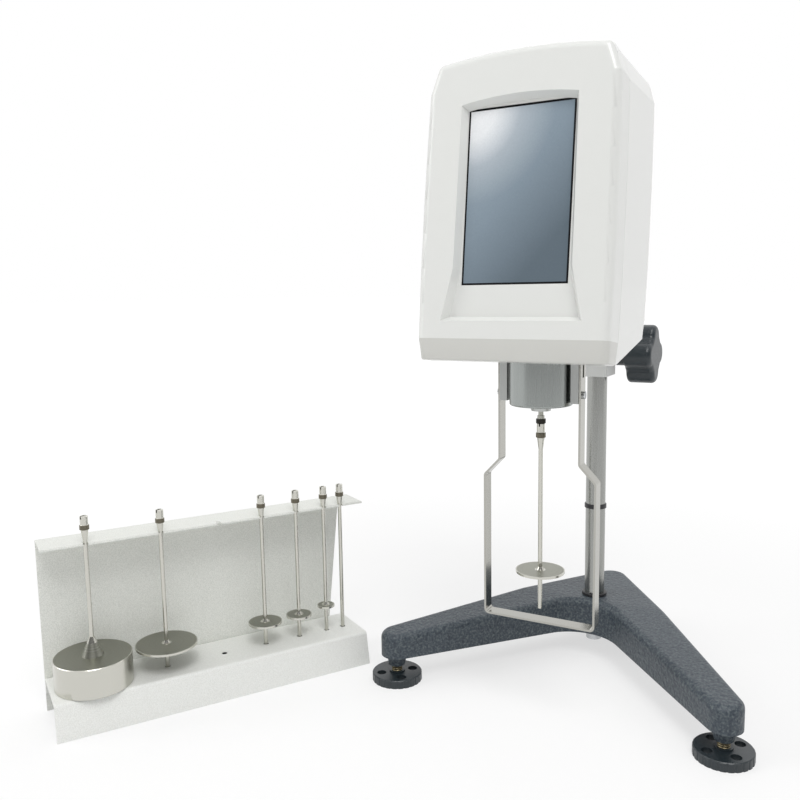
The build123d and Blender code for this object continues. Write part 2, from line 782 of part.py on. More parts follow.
# Bearing nut: the collar that shows under the cup, bored to clear the drive shaft.
with BuildPart() as bearing_nut:
    with Locations((0, spindle_y, cup_bottom)):
        Cone(nut_radius - nut_taper, nut_radius, nut_height, align=HANGING)
        Cylinder(nut_thread_radius, cup_wall + 6, align=STANDING)
    with Locations((0, spindle_y, cup_bottom - nut_height)):
        Cylinder(drive_radius + 0.8, 40, align=STANDING, mode=Mode.SUBTRACT)
write(bearing_nut, "bearing_nut")

# Jewel bearing holder, pressed up against the chassis and hanging in the cup.
with BuildPart() as pivot_bearing:
    with Locations((0, spindle_y, chassis_height - 14)):
        Cylinder(bearing_radius + 5, 14, align=STANDING)
        Cylinder(bearing_radius, 14 + chassis_thickness + 3, align=STANDING)
        Cylinder(drive_radius + running, 60, align=STANDING, mode=Mode.SUBTRACT)
write(pivot_bearing, "pivot_bearing")

# The motor stands on a bridge folded from one sheet and screwed down to the chassis.
bridge_half = post_spacing / 2 + 2
with BuildPart() as motor_bridge:
    with BuildSketch(Plane.XZ.offset(-spindle_y)):
        with BuildLine():
            FilletPolyline(
                (-bridge_half - 12, chassis_top + 1),
                (-bridge_half, chassis_top + 1),
                (-bridge_half, motor_base + 1),
                (bridge_half, motor_base + 1),
                (bridge_half, chassis_top + 1),
                (bridge_half + 12, chassis_top + 1),
                radius=2.5,
            )
        trace(line_width=2)
    extrude(amount=post_spacing / 2, both=True)
    with BuildSketch(Plane.XY.offset(motor_base)):
        with Locations((0, spindle_y)):
            Circle(11 + fastener)
    extrude(amount=2, mode=Mode.SUBTRACT)
    with BuildSketch(Plane.YZ):
        with Locations((spindle_y, chassis_top + motor_lift / 2)):
            RectangleRounded(post_spacing - 14, motor_lift - 16, 4)
    extrude(amount=bridge_half + 5, both=True, mode=Mode.SUBTRACT)
write(motor_bridge, "motor_bridge")

with BuildPart() as motor:
    with BuildSketch(Plane.XY.offset(motor_base + 2)):
        with Locations((0, spindle_y)):
            Rectangle(motor_side, motor_side)
    extrude(amount=motor_height)
    chamfer(motor.edges().filter_by(Axis.Z), 4)
    with Locations((0, spindle_y, motor_base + 2)):
        Cylinder(11, 2, align=HANGING)
        Cylinder(motor_shaft_radius + running, 3 * motor_height, align=MIDDLE, mode=Mode.SUBTRACT)
write(motor, "motor")

# Everything below turns with the motor: its shaft and disc, the hairspring that measures the
# drag, the sensing disc, and the drive shaft that hangs from the spring on its pivot.
motor_shaft_bottom = motor_base - shaft_overhang
with BuildPart() as motor_shaft:
    with Locations((0, spindle_y, motor_shaft_bottom)):
        Cylinder(motor_shaft_radius, shaft_overhang + motor_height, align=STANDING)
        Cylinder(hub_radius, shaft_overhang / 2, align=STANDING)
write(motor_shaft, "motor_shaft")

with BuildPart() as motor_disc:
    with Locations((0, spindle_y, motor_shaft_bottom + shaft_overhang / 2)):
        Cylinder(sensor_disc_radius, 1.2, align=STANDING)
        Cylinder(motor_shaft_radius + running, 1.2, align=STANDING, mode=Mode.SUBTRACT)
        with PolarLocations(sensor_disc_radius - 1.5, 12):
            Box(4, 1.4, 1.2, align=STANDING, mode=Mode.SUBTRACT)
write(motor_disc, "motor_disc")

drive_top = motor_shaft_bottom - 1
sensing_disc_height = drive_top - 5
with BuildPart() as sensing_disc:
    with Locations((0, spindle_y, sensing_disc_height)):
        Cylinder(sensor_disc_radius, 1.2, align=STANDING)
        Cylinder(4.5, 4, align=STANDING)
        Cylinder(drive_radius + running, 4, align=STANDING, mode=Mode.SUBTRACT)
        with PolarLocations(sensor_disc_radius - 1.5, 12):
            Box(4, 1.4, 1.2, align=STANDING, mode=Mode.SUBTRACT)
write(sensing_disc, "sensing_disc")

spring_turns = 4
with BuildPart() as hairspring:
    with BuildSketch(Plane.XY.offset(motor_shaft_bottom + 2)):
        with Locations((0, spindle_y)):
            for turn in range(spring_turns):
                Circle(6.6 + 2.2 * turn + 0.7)
                Circle(6.6 + 2.2 * turn, mode=Mode.SUBTRACT)
            for turn in range(spring_turns):
                with Locations((6 + 1.1 * turn * 2 + 0.9, 0)):
                    Rectangle(2.4, 1.2)
            Circle(6.05, mode=Mode.SUBTRACT)
    extrude(amount=2)
write(hairspring, "hairspring")

drive_bottom = coupling_top - thread_depth
with BuildPart() as drive_shaft:
    with Locations((0, spindle_y, drive_bottom)):
        Cylinder(thread_diameter / 2, drive_top - drive_bottom, align=STANDING)
    with Locations((0, spindle_y, coupling_top + 0.1)):
        Cylinder(drive_radius, drive_top - coupling_top - 0.1, align=STANDING)
        Cylinder(coupling_ring / 2, ring_height, align=STANDING)
        Cylinder(coupling_radius - 0.5, ring_height + 2.4, align=STANDING)
write(drive_shaft, "drive_shaft")


def spindle(place, height, number):
    """One spindle of the set: coupling, rod and disc (the first is a drum, the last a rod)."""
    drum = number == 1
    rod_only = number == 7
    length = drum_spindle_length if drum else spindle_length
    radius = (rod_spindle_diameter if rod_only else rod_diameter) / 2
    top = height + length
    taper_top = top - taper_end
    taper_bottom = top - coupling_length
    x, y = place
    with BuildPart() as part:
        with BuildSketch(Plane(origin=(x, y, 0), x_dir=(1, 0, 0), z_dir=(0, -1, 0))):
            with BuildLine():
                Polyline(
                    (0, height),
                    (radius, height),
                    (radius, taper_bottom),
                    (coupling_radius - 0.3, taper_top),
                    (coupling_ring / 2, top - coupling_ring_end),
                    (coupling_ring / 2, top - coupling_ring_start),
                    (coupling_radius - 0.1, top - coupling_ring_start + 0.5),
                    (coupling_radius - 0.1, top - 0.4),
                    (coupling_radius - 0.5, top),
                    (0, top),
                    close=True,
                )
            make_face()
        revolve(axis=Axis((x, y, 0), (0, 0, 1)))
        with Locations((x, y, top)):
            Cylinder(thread_diameter / 2 + running, thread_depth + 0.2, align=HANGING, mode=Mode.SUBTRACT)
            Box(castle_slot, coupling_ring, castle_depth, align=HANGING, mode=Mode.SUBTRACT)
        if drum:
            with Locations((x, y, height)):
                Cylinder(disc_diameters[0] / 2, drum_height, align=STANDING)
                chamfer(part.edges().filter_by(GeomType.CIRCLE).sort_by(SortBy.RADIUS)[-2:], 0.4)
            with Locations((x, y, height + drum_height)):
                Cone(8.0, radius + 0.3, 14, align=STANDING)
        elif not rod_only:
            with Locations((x, y, height + disc_lift[number - 1])):
                Cylinder(disc_diameters[number - 1] / 2, disc_thickness, align=STANDING)
            with Locations((x, y, height + disc_lift[number - 1] + disc_thickness)):
                Cone(radius + 1.2, radius + 0.1, 2.2, align=STANDING)
    return part


write(spindle((0, spindle_y), fitted_tip, 3), "spindle_3")

# ---------------------------------------------------------------- hangers and guard
for side_name, side in (("right", 1), ("left", -1)):
    outward = Plane(origin=(side * hanger_inner, spindle_y, guard_screw_height), z_dir=(side, 0, 0))
    grip = hanger_thickness + strip_thickness
    with BuildPart() as hanger:
        with Locations((side * (hanger_inner + hanger_thickness / 2), spindle_y, hanger_bottom)):
            Box(hanger_thickness, hanger_depth, chassis_height - hanger_bottom, align=STANDING)
        with BuildSketch(outward):
            Circle(guard_screw_radius + running)
        extrude(amount=hanger_thickness, mode=Mode.SUBTRACT)
    write(hanger, f"guard_hanger_{side_name}")

    with BuildPart() as guard_screw:
        with BuildSketch(outward):
            Circle(guard_screw_radius)
        extrude(amount=grip)
        with BuildSketch(outward.offset(grip)):
            Circle(2.6)
        extrude(amount=1.6)
        with BuildSketch(outward.offset(grip + 1.6)):
            Rectangle(6, 0.7)
        extrude(amount=-0.8, mode=Mode.SUBTRACT)
    write(guard_screw, f"guard_screw_{side_name}")

# Guard leg: one flat strip bent into a U that shields the spindle.
strip_x = hanger_inner + hanger_thickness + strip_thickness / 2
with BuildPart() as guard_leg:
    with BuildSketch(Plane.XZ.offset(-spindle_y)):
        with BuildLine() as strip_line:
            FilletPolyline(
                (-strip_x, guard_top),
                (-strip_x, guard_shoulder),
                (-guard_half_width, guard_hip),
                (-guard_half_width, guard_bottom),
                (guard_half_width, guard_bottom),
                (guard_half_width, guard_hip),
                (strip_x, guard_shoulder),
                (strip_x, guard_top),
                radius=guard_bend,
            )
        trace(line_width=strip_thickness)
    extrude(amount=strip_width / 2, both=True)
    with BuildSketch(Plane.YZ):
        with Locations((spindle_y, guard_screw_height)):
            Circle(guard_screw_radius + fastener)
        with Locations((spindle_y, guard_top)):
            Rectangle(3.4, 2 * guard_slot)
    extrude(amount=60, both=True, mode=Mode.SUBTRACT)
write(guard_leg, "guard_leg")

# ---------------------------------------------------------------- back of the head
switch_x, switch_y, switch_w, switch_h = switch_place
with BuildPart() as switch_frame:
    with BuildSketch(back_panel):
        with Locations((switch_x, switch_y)):
            Rectangle(switch_w + 4, switch_h + 4)
    extrude(amount=1.2)
    with BuildSketch(back_panel):
        with Locations((switch_x, switch_y)):
            Rectangle(switch_w - 0.4, switch_h - 0.4)
    extrude(amount=-12)
    with BuildSketch(back_panel.offset(1.2)):
        with Locations((switch_x, switch_y)):
            Rectangle(rocker_width + 0.6, rocker_height + 0.6)
    extrude(amount=-9, mode=Mode.SUBTRACT)
write(switch_frame, "switch_frame")

rocker_side = Plane(
    origin=back_panel.from_local_coords(Vector(switch_x, switch_y, -3)),
    x_dir=back_panel.z_dir,
    z_dir=(1, 0, 0),
)
with BuildPart() as power_rocker:
    with BuildSketch(rocker_side):
        with BuildLine():
            Polyline(
                (4.6, -rocker_height / 2 + 0.7),
                (-3.6, -rocker_height / 2 + 1.4),
                (-3.6, rocker_height / 2 - 1.4),
                (4.6, rocker_height / 2 - 0.7),
                (3.2, 0),
                close=True,
            )
        make_face()
    extrude(amount=rocker_width / 2, both=True)
    with BuildSketch(rocker_side):
        Circle(1)
    extrude(amount=rocker_width / 2 + 0.25, both=True)
write(power_rocker, "power_rocker")

inlet_x, inlet_y, inlet_w, inlet_h = inlet_place
with BuildPart() as power_inlet:
    with BuildSketch(back_panel.offset(-cover_wall)):
        with Locations((inlet_x, inlet_y)):
            Rectangle(inlet_w - 0.4, inlet_h - 0.4)
    extrude(amount=cover_wall + 0.8)
    with BuildSketch(back_panel.offset(-cover_wall)):
        with Locations((inlet_x, inlet_y)):
            Rectangle(inlet_w - 0.4, inlet_h - 0.4)
    extrude(amount=-9)
    with BuildSketch(back_panel.offset(0.8)):
        with Locations((inlet_x, inlet_y)):
            Circle(3.1)
            Circle(1.0, mode=Mode.SUBTRACT)
    extrude(amount=-9, mode=Mode.SUBTRACT)
write(power_inlet, "power_inlet")

data_x, data_y, data_w, data_h = data_place
with BuildPart() as data_port:
    with BuildSketch(back_panel.offset(-cover_wall)):
        with Locations((data_x, data_y)):
            Rectangle(data_w - 0.4, data_h - 0.4)
    extrude(amount=cover_wall + 0.4)
    with BuildSketch(back_panel.offset(0.4)):
        with Locations((data_x, data_y)):
            RectangleRounded(data_w - 3, data_h - 4, 2)
    extrude(amount=5)
    with BuildSketch(back_panel.offset(5.4)):
        with Locations((data_x, data_y)):
            with GridLocations(2.8, 2.8, 5, 2):
                Circle(0.5)
    extrude(amount=-4, mode=Mode.SUBTRACT)
write(data_port, "data_port")

with BuildPart() as probe_socket:
    with BuildSketch(back_panel.offset(-cover_wall - 6)):
        with Locations(probe_place):
            Circle(probe_radius - 0.2)
    extrude(amount=cover_wall + 6)
    with BuildSketch(back_panel):
        with Locations(probe_place):
            Circle(probe_radius + 2)
            Circle(probe_radius - 1.6, mode=Mode.SUBTRACT)
    extrude(amount=2.4)
    with BuildSketch(back_panel):
        with Locations(probe_place):
            with PolarLocations(3.2, 4):
                Circle(0.6)
    extrude(amount=-3, mode=Mode.SUBTRACT)
write(probe_socket, "probe_socket")

# Bubble level let into the top of the head.
with BuildPart() as level_body:
    with Locations((0, level_y, level_seat)):
        Cylinder(level_radius, level_height, align=STANDING)
    with Locations((0, level_y, level_seat + 2)):
        Cylinder(level_radius - 1.6, level_height, align=STANDING, mode=Mode.SUBTRACT)
write(level_body, "level_body")

with BuildPart() as level_vial:
    with Locations((0, level_y, level_seat + 2)):
        Cylinder(level_radius - 1.6 - running, level_height - 2.3, align=STANDING)
        fillet(level_vial.edges().group_by(Axis.Z)[-1], 1)
write(level_vial, "level_vial")

with BuildPart() as main_board:
    with BuildSketch(upright.offset(board_standoff)):
        with Locations((0, board_height)):
            Rectangle(board_width, board_length)
    extrude(amount=board_thickness)
    with BuildSketch(upright.offset(board_standoff + board_thickness)):
        with Locations((0, board_height)):
            with GridLocations(board_width * 0.36, board_length * 0.4, 2, 2):
                Rectangle(board_width * 0.2, board_width * 0.2)
            Circle(board_width * 0.07)
    extrude(amount=board_standoff * 0.8)
write(main_board, "main_board")

# ---------------------------------------------------------------- spindle rack
# Two folded sheets: a tray with the holes and a back panel whose top ledge is notched.
rack_frame = Plane(
    origin=(rack_place[0], rack_place[1], 0),
    x_dir=(math.cos(math.radians(rack_turn)), math.sin(math.radians(rack_turn)), 0),
    z_dir=(0, 0, 1),
)
rack_side = Plane(origin=rack_frame.origin, x_dir=rack_frame.y_dir, z_dir=rack_frame.x_dir)
hole_row = [-hole_pitches[0] - hole_pitches[1], -hole_pitches[1], 0]
for pitch in hole_pitches[2:]:
    hole_row.append(hole_row[-1] + pitch)
half_sheet = sheet / 2

with BuildPart() as rack_tray:
    with BuildSketch(rack_side.offset(tray_left)):
        with BuildLine():
            FilletPolyline(
                (tray_skirt, 0),
                (tray_front, tray_height - half_sheet),
                (panel_back - sheet - half_sheet, tray_height - half_sheet),
                (panel_back - sheet - half_sheet, tray_height - tray_tab),
                radius=bend_radius,
            )
        trace(line_width=sheet)
    extrude(amount=tray_right - tray_left)
    with BuildSketch(rack_frame.offset(tray_height - 2 * sheet)):
        with Locations(*[(s, 0) for s in hole_row]):
            Circle(hole_diameter / 2)
    extrude(amount=4 * sheet, mode=Mode.SUBTRACT)
    with BuildSketch(rack_frame):
        Rectangle(2 * ledge_right + 100, 200)
    extrude(amount=-20, mode=Mode.SUBTRACT)
write(rack_tray, "rack_tray")

with BuildPart() as rack_panel:
    with BuildSketch(rack_side.offset(tray_left)):
        with BuildLine():
            FilletPolyline(
                (panel_back - half_sheet, 0),
                (panel_back - half_sheet, ledge_height - half_sheet),
                (ledge_front, ledge_height - half_sheet),
                radius=bend_radius,
            )
        trace(line_width=sheet)
    extrude(amount=ledge_right - tray_left)
    with BuildSketch(rack_frame.offset(ledge_height - 3 * sheet)):
        with Locations(*[(s, ledge_front) for s in hole_row]):
            SlotOverall(2 * (notch_end - ledge_front), notch_width, rotation=90)
    extrude(amount=6 * sheet, mode=Mode.SUBTRACT)
    with BuildSketch(Plane(origin=rack_frame.origin, x_dir=rack_frame.x_dir, z_dir=-rack_frame.y_dir)):
        with BuildLine():
            Polyline(
                (tray_right - panel_foot_cut, -1),
                (tray_right - panel_foot_cut, tray_height),
                (tray_right, ledge_height - 3 * sheet),
                (ledge_right + 1, ledge_height - 3 * sheet),
                (ledge_right + 1, -1),
                close=True,
            )
        make_face()
    extrude(amount=60, both=True, mode=Mode.SUBTRACT)
write(rack_panel, "rack_panel")

for number, s in enumerate(hole_row, start=1):
    if number == 3:
        continue
    place = rack_frame.from_local_coords(Vector(s, 0, 0))
    rod = (rod_spindle_diameter if number == 7 else rod_diameter) / 2
    shoulder = (notch_width / 2 - 0.02 - rod) / (coupling_radius - 0.3 - rod)
    hung = ledge_height - spindle_length + coupling_length - shoulder * (coupling_length - taper_end)
    height = tray_height + 0.02 if number == 1 else hung
    write(spindle((place.X, place.Y), height, number), f"spindle_{number}")
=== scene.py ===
# %% [markdown]
# # A rotational viscometer, dressed for a studio picture
#
# The instrument hangs a thin disc in a liquid, turns it and reads how much the liquid drags.
# Its solids come from CAD with every size fixed, so this notebook adds only what a maker would
# call the finish: hammered paint, moulded plastic, brushed and polished steel, a dark touch
# screen, a thread on the foot studs, and the light and camera for one clean view.

# %% Open the solids and measure them
import math

import bmesh
import bpy
from mathutils import Matrix, Vector


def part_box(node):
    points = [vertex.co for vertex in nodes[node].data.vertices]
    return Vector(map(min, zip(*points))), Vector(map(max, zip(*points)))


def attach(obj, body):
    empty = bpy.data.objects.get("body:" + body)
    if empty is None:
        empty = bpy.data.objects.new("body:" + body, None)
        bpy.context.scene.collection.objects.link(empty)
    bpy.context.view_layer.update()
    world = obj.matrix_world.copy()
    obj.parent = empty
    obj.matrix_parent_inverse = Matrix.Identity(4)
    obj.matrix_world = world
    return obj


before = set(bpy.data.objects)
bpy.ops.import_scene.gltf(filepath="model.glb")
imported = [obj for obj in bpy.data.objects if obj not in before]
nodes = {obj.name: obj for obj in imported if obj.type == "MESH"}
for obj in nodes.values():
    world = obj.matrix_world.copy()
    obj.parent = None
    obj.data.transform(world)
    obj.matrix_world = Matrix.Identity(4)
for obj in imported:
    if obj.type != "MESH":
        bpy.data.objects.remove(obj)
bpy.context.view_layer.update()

# %% [markdown]
# ## Finishes as small recipes
#
# Every finish is one Principled shader. What varies over a surface, such as the pores of a
# paint, is a chain of nodes. Wiring nodes by hand is slow to read, so a small class wraps one
# output socket and lets it be added, subtracted or multiplied like a number.


# %% A value that varies over a surface
class Value:
    """One output of a node, used in sums as if it were a number."""

    def __init__(self, finish, socket):
        self.finish = finish
        self.socket = socket

    def calculate(self, operation, first, second):
        return self.finish.node("ShaderNodeMath", {"operation": operation}, {0: first, 1: second})

    def __add__(self, other):
        return self.calculate("ADD", self, other)

    def __radd__(self, other):
        return self.calculate("ADD", other, self)

    def __sub__(self, other):
        return self.calculate("SUBTRACT", self, other)

    def __rsub__(self, other):
        return self.calculate("SUBTRACT", other, self)

    def __mul__(self, other):
        return self.calculate("MULTIPLY", self, other)

    def __rmul__(self, other):
        return self.calculate("MULTIPLY", other, self)

    def above(self, level):
        return self.calculate("GREATER_THAN", self, level)

    def higher_of(self, other):
        return self.calculate("MAXIMUM", self, other)

    def distance(self):
        return self.calculate("ABSOLUTE", self, 0.0)


def shade(red, green, blue):
    """A colour picked on a screen, 0 to 255, as the linear numbers that a shader wants."""
    parts = [part / 255 for part in (red, green, blue)]
    linear = [p / 12.92 if p <= 0.04045 else ((p + 0.055) / 1.055) ** 2.4 for p in parts]
    return (*linear, 1.0)


print("mid grey in linear light:", round(shade(128, 128, 128)[0], 3))


# %% A finish: one material and the nodes behind it
class Finish:
    """A Principled material. Constants go on the shader's own sockets."""

    def __init__(self, name, color, roughness, metallic=0.0, **sockets):
        self.material = bpy.data.materials.new(name)
        self.material.use_nodes = True
        self.tree = self.material.node_tree
        self.shader = self.tree.nodes["Principled BSDF"]
        self.shader.inputs["Base Color"].default_value = color
        self.shader.inputs["Roughness"].default_value = roughness
        self.shader.inputs["Metallic"].default_value = metallic
        for socket, value in sockets.items():
            label = socket.replace("_", " ").title().replace("Ior", "IOR")
            self.shader.inputs[label].default_value = value

    def node(self, kind, settings, inputs, output=0):
        """Adds one node: its settings first, then the values or links of its sockets."""
        made = self.tree.nodes.new(kind)
        for name, value in settings.items():
            if name == "stops":
                ramp = made.color_ramp.elements
                while len(ramp) < len(value):
                    ramp.new(0.5)
                for element, (place, color) in zip(ramp, value):
                    element.position = place
                    element.color = color
            else:
                setattr(made, name, value)
        for name, value in inputs.items():
            if isinstance(value, Value):
                self.tree.links.new(value.socket, made.inputs[name])
            else:
                made.inputs[name].default_value = value
        return Value(self, made.outputs[output])

    def place(self, stretch=(1, 1, 1)):
        """The point on the surface, in metres, stretched or squeezed along each axis."""
        point = self.node("ShaderNodeTexCoord", {}, {}, "Object")
        return self.node("ShaderNodeMapping", {}, {"Vector": point, "Scale": stretch})

    def axes(self):
        """The three coordinates of the point on the surface, each as a value."""
        split = self.node("ShaderNodeSeparateXYZ", {}, {"Vector": self.place()})
        outputs = split.socket.node.outputs
        return [Value(self, outputs[name]) for name in "XYZ"]

    def noise(self, scale, detail=2.0, stretch=(1, 1, 1)):
        inputs = {"Vector": self.place(stretch), "Scale": scale, "Detail": detail}
        return self.node("ShaderNodeTexNoise", {}, inputs)

    def mix(self, factor, first, second):
        """A blend of two colours. The colour sockets of a Mix node are numbers 6 and 7."""
        inputs = {0: factor, 6: first, 7: second}
        return self.node("ShaderNodeMix", {"data_type": "RGBA"}, inputs, 2)

    def bump(self, height, depth, strength=1.0):
        """Raises the surface by height times depth, in metres."""
        inputs = {"Height": height, "Distance": depth, "Strength": strength}
        self.feed("Normal", self.node("ShaderNodeBump", {}, inputs))

    def feed(self, socket, value):
        self.tree.links.new(value.socket, self.shader.inputs[socket])


def dress(finish, *names):
    """Gives a finish to CAD solids."""
    for name in names:
        slots = nodes[name].data.materials
        slots.clear()
        slots.append(finish.material)
    print(finish.material.name, "on", ", ".join(names))


def add_object(name, mesh, finish):
    """Makes a finished bmesh an object of the scene, gives it one finish and frees the bmesh."""
    data = bpy.data.meshes.new(name)
    mesh.to_mesh(data)
    mesh.free()
    data.materials.append(finish.material)
    made = bpy.data.objects.new(name, data)
    bpy.context.scene.collection.objects.link(made)
    return made


# %% [markdown]
# ## Hammered paint on the cast base
#
# The base is a sand casting under a thick paint that dries in dimples. The dimples are cells
# of a Voronoi pattern, softened by noise so that no two look alike, and a bump presses them in.
# The same noise picks one of three close slate tones, so the paint looks faintly speckled.

# %% Hammered paint
cast_paint = Finish("hammered slate paint", shade(62, 71, 79), 0.42, specular_ior_level=0.5)
cells = {"Vector": cast_paint.place(), "Scale": 330.0}
dimples = cast_paint.node("ShaderNodeTexVoronoi", {"feature": "SMOOTH_F1"}, cells)
grain = cast_paint.noise(620.0, 3.0)
DIMPLE_DEPTH = 0.0011
cast_paint.bump(dimples * 0.8 + grain * 0.5, DIMPLE_DEPTH, 0.8)
cast_paint.feed("Roughness", 0.34 + grain * 0.2)
slates = [
    (0.32, shade(42, 51, 62)),
    (0.5, shade(62, 71, 79)),
    (0.68, shade(92, 101, 104)),
]
speckle = cast_paint.node("ShaderNodeValToRGB", {"stops": slates}, {0: grain})
cast_paint.feed("Base Color", speckle)
dress(cast_paint, "base_casting")

# %% [markdown]
# ## Moulded plastics
#
# The foot discs and the lift knob are one dark plastic with the fine texture of an etched
# mould. The head's two shells are a warm off-white with a soft gloss, so a coat with low
# roughness lies over a rougher base: broad highlights stay soft and narrow ones stay crisp.

# %% Dark plastic for feet and knob
foot_plastic = Finish("slate moulded plastic", shade(33, 42, 47), 0.36, specular_ior_level=0.6)
foot_grain = foot_plastic.noise(1400.0, 2.0)
foot_plastic.bump(foot_grain, 0.0002, 0.6)
foot_plastic.feed("Roughness", 0.28 + foot_grain * 0.16)
dress(foot_plastic, "foot_disc_left", "foot_disc_right", "foot_disc_rear", "lift_knob")

# %% Off-white shells of the head
off_white = shade(225, 226, 223)
shell = Finish("off-white shell", off_white, 0.34, coat_weight=0.5, coat_roughness=0.06)
shell_grain = shell.noise(1500.0, 2.0)
shell.bump(shell_grain, 0.00006, 0.35)
shell.feed("Roughness", 0.30 + shell_grain * 0.08)
dress(shell, "front_cover", "rear_cover")

# %% [markdown]
# ## The chin of the head
#
# Under the screen the front shell slopes back for 14 mm to the underside of the head. It is a
# shallow tray, open at the top and towards the rear: an outer wall with rounded corners, an
# inner wall 3 mm inside it and a floor. Each wall lies between two strips of points, one at
# its top and one at its foot, so one helper gives a strip and bridge_loops spans the walls.
# The slope catches less light than the face above it, so its tone is painted a little darker:
# painted shade.

# %% Where the head's face lies
FACE_LEAN = math.radians(7.44)
face_up = Vector((0, math.sin(FACE_LEAN), math.cos(FACE_LEAN)))
face_out = Vector((0, -math.cos(FACE_LEAN), math.sin(FACE_LEAN)))
face_foot = Vector((0, -0.2527, 0.317))


def on_face(across, up, depth):
    """A point given by its place on the leaning face and its depth behind it."""
    return face_foot + Vector((across, 0, 0)) + up * face_up - depth * face_out


print("the face leans", round(math.degrees(FACE_LEAN), 2), "degrees")


# %% One strip of the chin's wall
CHIN_TOP = -0.035
CHIN_FOOT = -0.049
CHIN_SETBACK = 0.0034
SEAM_DEPTH = 0.0208
SHELL_WALL = 0.003
CORNER = 0.005
CORNER_STEPS = 8
HALF_WIDTH = 0.06398
SIDE_TAPER = 0.0011


def chin_strip(up, inset):
    """Points from the left seam round the front to the right seam, inset from the outside."""
    drop = (CHIN_TOP - up) / (CHIN_TOP - CHIN_FOOT)
    half = HALF_WIDTH - SIDE_TAPER * drop - inset
    front = CHIN_SETBACK * drop + inset
    turn = CORNER - inset
    corner = []
    for step in range(CORNER_STEPS + 1):
        angle = math.radians(90 * step / CORNER_STEPS)
        across = half - turn + turn * math.cos(angle)
        corner.append((across, front + turn - turn * math.sin(angle)))
    right_side = [(half, SEAM_DEPTH), *corner]
    left_side = [(-across, depth) for across, depth in right_side]
    return [on_face(across, up, depth) for across, depth in left_side + right_side[::-1]]


print(len(chin_strip(CHIN_TOP, 0.0)), "points in a strip")

# %% The chin's walls and floor
chin_mesh = bmesh.new()
strips = {}
chains = {}
for name, up, inset in (
    ("outer top", CHIN_TOP, 0.0),
    ("outer foot", CHIN_FOOT, 0.0),
    ("inner foot", CHIN_FOOT + SHELL_WALL, SHELL_WALL),
    ("inner top", CHIN_TOP, SHELL_WALL),
):
    strips[name] = [chin_mesh.verts.new(point) for point in chin_strip(up, inset)]
    pairs = zip(strips[name], strips[name][1:])
    chains[name] = [chin_mesh.edges.new(pair) for pair in pairs]
for here, there in (
    ("outer top", "outer foot"),
    ("inner top", "inner foot"),
    ("outer top", "inner top"),
):
    bmesh.ops.bridge_loops(chin_mesh, edges=chains[here] + chains[there])
print("walls of", len(chin_mesh.faces), "faces")

# %% Close the chin and round its lower rim
RIM_ROUND = 0.001
outer_top, outer_foot, inner_foot, inner_top = strips.values()
chin_mesh.faces.new(outer_foot)
chin_mesh.faces.new(inner_foot)
for end in (0, -1):
    chin_mesh.faces.new((outer_top[end], outer_foot[end], inner_foot[end], inner_top[end]))
chin_mesh.faces.new((outer_foot[0], outer_foot[-1], inner_foot[-1], inner_foot[0]))
bmesh.ops.recalc_face_normals(chin_mesh, faces=chin_mesh.faces)
rear_edge = {outer_foot[0], outer_foot[-1]}
foot_rim = [edge for edge in chin_mesh.edges if all(vert in outer_foot for vert in edge.verts)]
bmesh.ops.bevel(
    chin_mesh,
    geom=[edge for edge in foot_rim if set(edge.verts) != rear_edge],
    offset=RIM_ROUND,
    segments=3,
    profile=0.5,
    affect="EDGES",
    material=-1,
)
# The chin is the same plastic as the shell; its darker tone is painted shade for a slope that
# faces down.
chin_shell_painted_shade = Finish("shell of the chin with painted shade", shade(204, 204, 199), 0.34, coat_weight=0.5)
chin = add_object("front_chin", chin_mesh, chin_shell_painted_shade)
chin.data.shade_smooth()
chin.data.set_sharp_from_angle(angle=math.radians(30))
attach(chin, "carriage")
print("chin", len(chin.data.polygons), "faces")

# %% [markdown]
# ## The dark touch screen
#
# Switched off, the glass is a deep slate. Its paling towards the top left is a painted
# reflection, a painted highlight of a window lies in that corner, and a thin line of painted
# shade lies along the edge, where the glass meets its surround. All three follow from the place
# on the glass, so they are worked out from its coordinates: a slanted ramp gives the slate and
# its painted reflection, a ramp on the distance from the corner gives the painted highlight, and
# the painted shade is where a point is nearer to the edge than the line's width.

# %% The slate of the glass, with its painted reflection
glass_low, glass_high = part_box("touch_screen")
glass_height = glass_high.z - glass_low.z
glass_half = glass_high.x
screen = Finish("dark touch glass", shade(100, 114, 126), 0.3, specular_ior_level=0.3)
across, _, up = screen.axes()
level = (up - glass_low.z) * (1 / glass_height)
slant = level * 0.8 - across * (0.28 / glass_half)
# The slate pales towards the top left: painted reflection, not a tint of the glass.
slate_and_painted_reflection = [
    (0.0, shade(98, 111, 121)),
    (0.45, shade(134, 149, 161)),
    (0.62, shade(142, 157, 169)),
    (1.0, shade(160, 175, 187)),
]
slate = screen.node("ShaderNodeValToRGB", {"stops": slate_and_painted_reflection}, {0: slant})
print("glass", round(glass_height * 1000, 1), "mm high")

# %% The painted highlight in its corner
CORNER_STRETCH = 1.5
corner = screen.node(
    "ShaderNodeCombineXYZ",
    {},
    {"X": across * (0.5 / glass_half) + 0.5, "Y": (1.0 - level) * CORNER_STRETCH},
)
from_corner = screen.node("ShaderNodeVectorMath", {"operation": "LENGTH"}, {0: corner}, 1)
# A white patch fading out from the top left corner: a painted highlight of a window.
painted_highlight_falloff = [
    (place, (part, part, part, 1))
    for place, part in ((0.0, 1.0), (0.26, 0.84), (0.5, 0.22), (0.82, 0.0))
]
painted_highlight_amount = screen.node("ShaderNodeValToRGB", {"stops": painted_highlight_falloff}, {0: from_corner})
slate_with_painted_highlight = screen.mix(painted_highlight_amount, slate, shade(250, 251, 252))
mottle = screen.noise(900.0, 3.0)
mottled_glass_with_painted_light = screen.mix(mottle * 0.16, slate_with_painted_highlight, shade(60, 70, 80))

